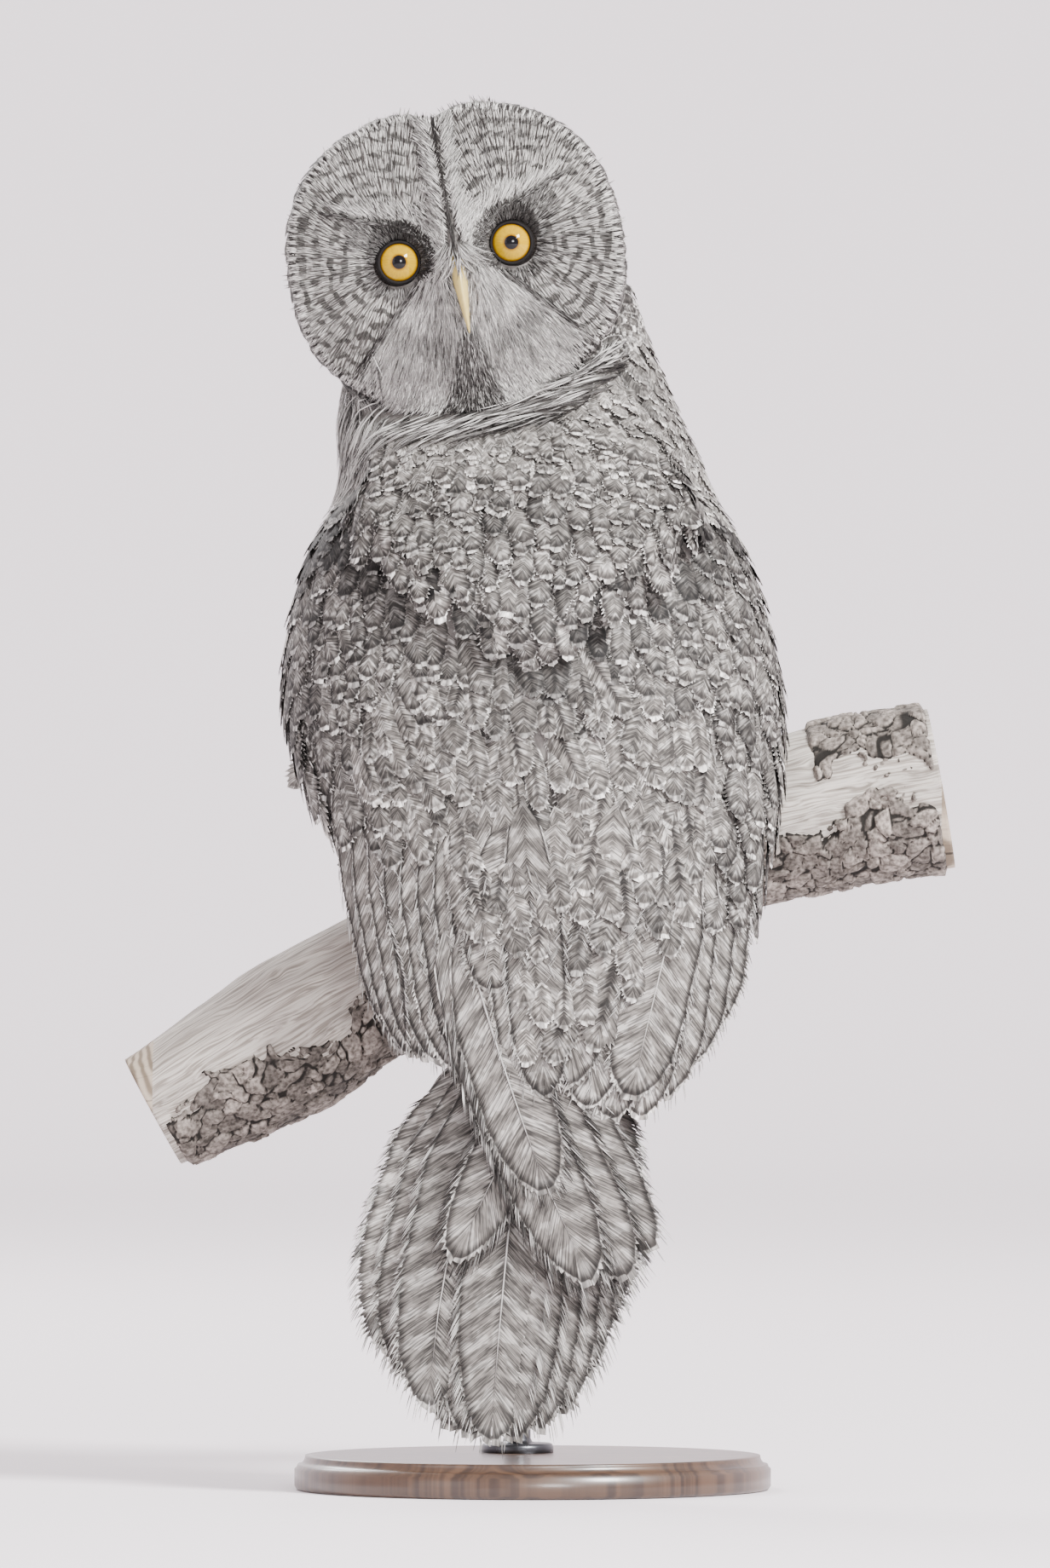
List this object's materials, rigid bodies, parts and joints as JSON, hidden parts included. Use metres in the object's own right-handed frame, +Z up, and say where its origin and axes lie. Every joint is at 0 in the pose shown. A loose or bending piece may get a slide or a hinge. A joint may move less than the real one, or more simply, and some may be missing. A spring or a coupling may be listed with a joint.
{
  "type": "great grey owl",
  "caption": "Great grey owl seen from behind with its head turned right round, perched on a cut length of pine branch held by a plain round stand.",
  "frame": {"origin": "centre of the underside of the stand's round base", "axes": "+Z up; the bird's breast faces +Y and its back faces -Y, and its head is turned right round so that the face looks along -Y; +X is to the right of someone who stands behind the bird"},
  "size_m": [0.4377, 0.25, 0.7321],
  "materials": {
    "plumage": "matte",
    "face": "matte",
    "leg_feathers": "matte",
    "iris": "gloss",
    "horn": "satin",
    "claw": "satin",
    "bare_wood": "matte",
    "bark": "matte",
    "stand_wood": "satin",
    "stand_metal": "satin"
  },
  "bodies": {
    "root": {"head": "face", "eye_left": "iris", "eye_right": "iris", "bill_upper": "horn", "bill_lower": "horn", "neck": "plumage", "torso": "plumage", "mantle": "plumage", "wing_left": "plumage", "wing_right": "plumage", "tail": "plumage", "leg_left": "leg_feathers", "leg_right": "leg_feathers", "foot_left": "leg_feathers", "foot_right": "leg_feathers", "claw_left_1": "claw", "claw_left_2": "claw", "claw_left_3": "claw", "claw_left_4": "claw", "claw_right_1": "claw", "claw_right_2": "claw", "claw_right_3": "claw", "claw_right_4": "claw", "perch": "bare_wood", "bark_lower": "bark", "bark_upper": "bark", "stand_base": "stand_wood", "stand_rod": "stand_metal"}
  },
  "joints": []
}
